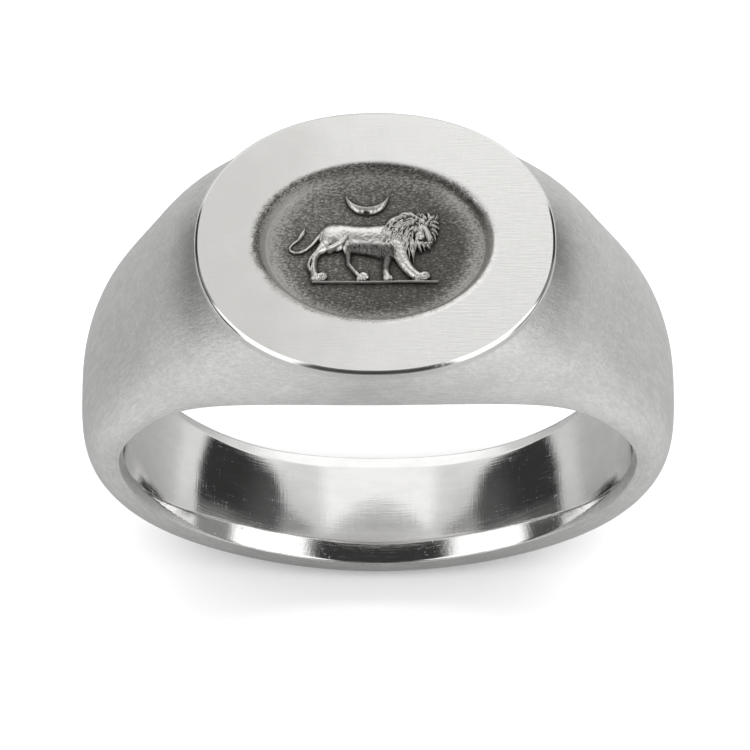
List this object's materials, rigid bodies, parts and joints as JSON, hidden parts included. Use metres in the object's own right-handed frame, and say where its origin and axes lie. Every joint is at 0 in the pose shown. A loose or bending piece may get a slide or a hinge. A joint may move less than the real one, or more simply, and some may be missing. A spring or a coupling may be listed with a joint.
{
  "type": "signet ring",
  "caption": "Signet ring with a broad oval face, a sunk oval seal showing a walking lion under a crescent, and shoulders that taper to a narrow comfort-fit shank.",
  "frame": {"origin": "centre of the finger bore, on its axis and half way along the band's width", "axes": "+Z from the bore's centre out of the middle of the seal face, +Y along the finger towards the top of the seal picture, +X to the right of the seal picture"},
  "size_m": [0.0224, 0.0112, 0.0236],
  "materials": {
    "satin_silver": "satin brushed outside, mirror polished with fine hairlines inside the bore",
    "matte_silver": "fine matte with a faint cross grain, thin polished edge",
    "oxidised_silver": "dark oxidised ground, worn bright in specks towards the rim",
    "relief_silver": "burnished high points, dark patina left in the hollows",
    "silver_solder": "dull, slightly darker than the silver"
  },
  "bodies": {
    "root": {"ring_body": "satin_silver", "face_plate": "matte_silver", "plate_solder": "silver_solder", "seal_tablet": "oxidised_silver", "tablet_solder": "silver_solder", "lion_relief": "relief_silver", "crescent_relief": "relief_silver", "ground_line": "relief_silver"}
  },
  "joints": []
}
